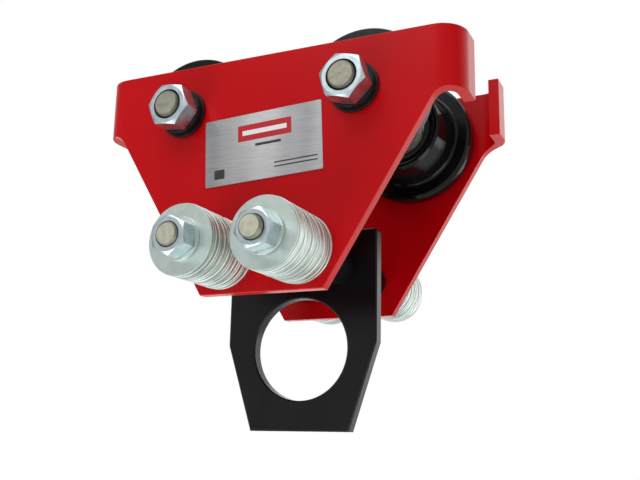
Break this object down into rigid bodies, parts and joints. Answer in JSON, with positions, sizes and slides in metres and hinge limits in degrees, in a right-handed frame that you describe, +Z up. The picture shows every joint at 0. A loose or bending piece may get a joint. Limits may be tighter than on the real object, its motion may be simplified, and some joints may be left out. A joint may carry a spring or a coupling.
{
  "type": "beam trolley",
  "caption": "Push trolley for an I-beam: bent side plates, flanged wheels on ball bearings, cross bolts with spacer washers and a suspension plate with a load eye.",
  "frame": {"origin": "centre of the load eye in the suspension plate, midway between the side plates", "axes": "X along the beam, Y across the beam from the nut side to the bolt-head side, Z up"},
  "size_m": [0.29, 0.2765, 0.2814],
  "materials": {
    "red_enamel": "gloss red enamel on pressed steel plate",
    "black_enamel": "satin black enamel",
    "black_wheel": "gloss black enamel on a turned casting",
    "zinc_washer": "bright zinc plate",
    "zinc_nut": "bright zinc plate",
    "zinc_bolt": "zinc plate, bare end face",
    "black_tube": "black enamel",
    "black_oxide": "black oxide",
    "turned_steel": "turned steel",
    "bearing_steel": "ground bearing steel",
    "shield_steel": "pressed steel",
    "cage_nylon": "moulded nylon",
    "rating_foil": "brushed aluminium with plain printed bars"
  },
  "bodies": {
    "frame": {"side_plate_front": "red_enamel", "side_plate_rear": "red_enamel", "rating_plate": "rating_foil", "suspension_plate": "black_enamel", "cross_bolt_left": "zinc_bolt", "cross_bolt_right": "zinc_bolt", "spacer_washers_front_left": "zinc_washer", "spacer_washers_front_right": "zinc_washer", "spacer_washers_rear_left": "zinc_washer", "spacer_washers_rear_right": "zinc_washer", "bolt_washers": "zinc_washer", "bolt_nuts": "zinc_nut", "spacer_tubes": "black_tube", "axle_flat_washers": "black_oxide", "axle_lock_washers": "black_oxide", "axle_nuts": "zinc_nut", "axle_circlips": "black_oxide", "axle_front_left": "turned_steel", "bearing_inner_rings_front_left": "bearing_steel", "axle_front_right": "turned_steel", "bearing_inner_rings_front_right": "bearing_steel", "axle_rear_left": "turned_steel", "bearing_inner_rings_rear_left": "bearing_steel", "axle_rear_right": "turned_steel", "bearing_inner_rings_rear_right": "bearing_steel"},
    "front_left_wheel": {"wheel_front_left": "black_wheel", "bearing_outer_rings_front_left": "bearing_steel", "bearing_shields_front_left": "shield_steel", "wheel_circlip_front_left": "black_oxide"},
    "front_left_ball_set": {"bearing_balls_front_left": "bearing_steel", "bearing_cages_front_left": "cage_nylon"},
    "front_right_wheel": {"wheel_front_right": "black_wheel", "bearing_outer_rings_front_right": "bearing_steel", "bearing_shields_front_right": "shield_steel", "wheel_circlip_front_right": "black_oxide"},
    "front_right_ball_set": {"bearing_balls_front_right": "bearing_steel", "bearing_cages_front_right": "cage_nylon"},
    "rear_left_wheel": {"wheel_rear_left": "black_wheel", "bearing_outer_rings_rear_left": "bearing_steel", "bearing_shields_rear_left": "shield_steel", "wheel_circlip_rear_left": "black_oxide"},
    "rear_left_ball_set": {"bearing_balls_rear_left": "bearing_steel", "bearing_cages_rear_left": "cage_nylon"},
    "rear_right_wheel": {"wheel_rear_right": "black_wheel", "bearing_outer_rings_rear_right": "bearing_steel", "bearing_shields_rear_right": "shield_steel", "wheel_circlip_rear_right": "black_oxide"},
    "rear_right_ball_set": {"bearing_balls_rear_right": "bearing_steel", "bearing_cages_rear_right": "cage_nylon"}
  },
  "joints": [
    {"name": "front_left_wheel_spin", "type": "hinge", "parent": "frame", "child": "front_left_wheel", "pos_m": [-0.0692, -0.0627, 0.1714], "axis": [0, 1, 0], "continuous": true},
    {"name": "front_right_wheel_spin", "type": "hinge", "parent": "frame", "child": "front_right_wheel", "pos_m": [0.0692, -0.0627, 0.1714], "axis": [0, 1, 0], "continuous": true},
    {"name": "rear_left_wheel_spin", "type": "hinge", "parent": "frame", "child": "rear_left_wheel", "pos_m": [-0.0692, 0.0627, 0.1714], "axis": [0, 1, 0], "continuous": true},
    {"name": "rear_right_wheel_spin", "type": "hinge", "parent": "frame", "child": "rear_right_wheel", "pos_m": [0.0692, 0.0627, 0.1714], "axis": [0, 1, 0], "continuous": true},
    {"name": "front_left_ball_set_spin", "type": "hinge", "parent": "frame", "child": "front_left_ball_set", "pos_m": [-0.0692, -0.0627, 0.1714], "axis": [0, 1, 0], "continuous": true},
    {"name": "front_right_ball_set_spin", "type": "hinge", "parent": "frame", "child": "front_right_ball_set", "pos_m": [0.0692, -0.0627, 0.1714], "axis": [0, 1, 0], "continuous": true},
    {"name": "rear_left_ball_set_spin", "type": "hinge", "parent": "frame", "child": "rear_left_ball_set", "pos_m": [-0.0692, 0.0627, 0.1714], "axis": [0, 1, 0], "continuous": true},
    {"name": "rear_right_ball_set_spin", "type": "hinge", "parent": "frame", "child": "rear_right_ball_set", "pos_m": [0.0692, 0.0627, 0.1714], "axis": [0, 1, 0], "continuous": true}
  ],
  "couplings": [
    {"joint": "front_left_ball_set_spin", "follows": "front_left_wheel_spin", "ratio": 0.6179},
    {"joint": "front_right_ball_set_spin", "follows": "front_right_wheel_spin", "ratio": 0.6179},
    {"joint": "rear_left_ball_set_spin", "follows": "rear_left_wheel_spin", "ratio": 0.6179},
    {"joint": "rear_right_ball_set_spin", "follows": "rear_right_wheel_spin", "ratio": 0.6179}
  ]
}
